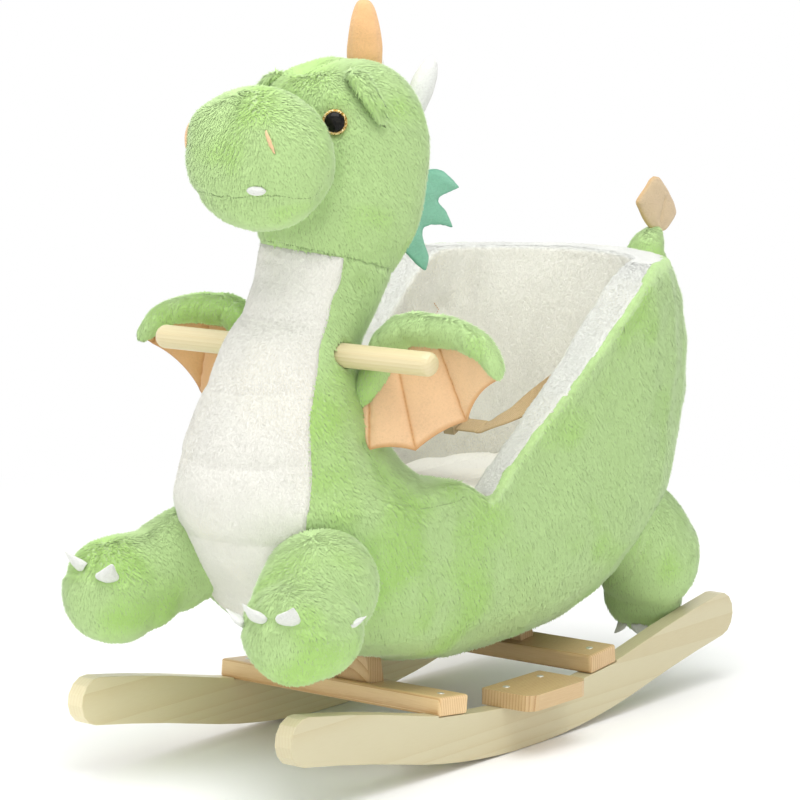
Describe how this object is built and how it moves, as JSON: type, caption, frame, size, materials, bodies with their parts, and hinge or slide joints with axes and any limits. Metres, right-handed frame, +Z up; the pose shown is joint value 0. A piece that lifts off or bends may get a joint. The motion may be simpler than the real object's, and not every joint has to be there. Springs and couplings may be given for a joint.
{
  "type": "rocking animal",
  "caption": "Stuffed plush dragon rocker with a padded bucket seat, lap belt, round wooden handle and foot rests, on curved wooden runners.",
  "frame": {"origin": "on the floor under the middle of the runners, on the plane of symmetry", "axes": "+Z up, the animal faces -Y and its left side is +X"},
  "size_m": [0.4262, 0.8059, 0.686],
  "materials": {
    "pale_wood": "clear satin varnish on pale softwood",
    "warm_wood": "clear satin varnish on warmer softwood",
    "green_plush": "short brushed pile",
    "cream_plush": "short brushed pile, quilted",
    "peach_felt": "napped felt",
    "teal_felt": "napped felt",
    "white_felt": "napped felt",
    "eye_plastic": "polished",
    "belt_web": "woven tape",
    "buckle_plastic": "moulded, satin"
  },
  "bodies": {
    "rocker": {"back_board": "pale_wood", "belly_panel": "cream_plush", "buckle_socket": "buckle_plastic", "crown_horn": "peach_felt", "front_cross_bar": "warm_wood", "handle_bar": "pale_wood", "handle_block": "warm_wood", "head": "green_plush", "left_belt": "belt_web", "left_ear": "green_plush", "left_eye": "eye_plastic", "left_footrest": "warm_wood", "left_front_leg": "green_plush", "left_horn": "white_felt", "left_rear_leg": "green_plush", "left_runner": "pale_wood", "left_wing_arm": "green_plush", "left_wing_skin": "peach_felt", "muzzle": "green_plush", "neck": "green_plush", "neck_fin": "teal_felt", "neck_post": "warm_wood", "rear_cross_bar": "warm_wood", "rear_riser": "warm_wood", "right_belt": "belt_web", "right_ear": "green_plush", "right_eye": "eye_plastic", "right_footrest": "warm_wood", "right_front_leg": "green_plush", "right_horn": "white_felt", "right_rear_leg": "green_plush", "right_runner": "pale_wood", "right_wing_arm": "green_plush", "right_wing_skin": "peach_felt", "seat_board": "pale_wood", "seat_cleat": "warm_wood", "seat_cushion": "cream_plush", "seat_lining": "cream_plush", "seat_shell": "green_plush", "tail": "green_plush", "tail_tip": "peach_felt", "torso": "green_plush"},
    "tongue": {"buckle_tongue": "buckle_plastic"}
  },
  "joints": [
    {"name": "buckle_release", "type": "slide", "parent": "rocker", "child": "tongue", "axis": [1, 0, 0], "range_m": [0, 0.021]}
  ]
}
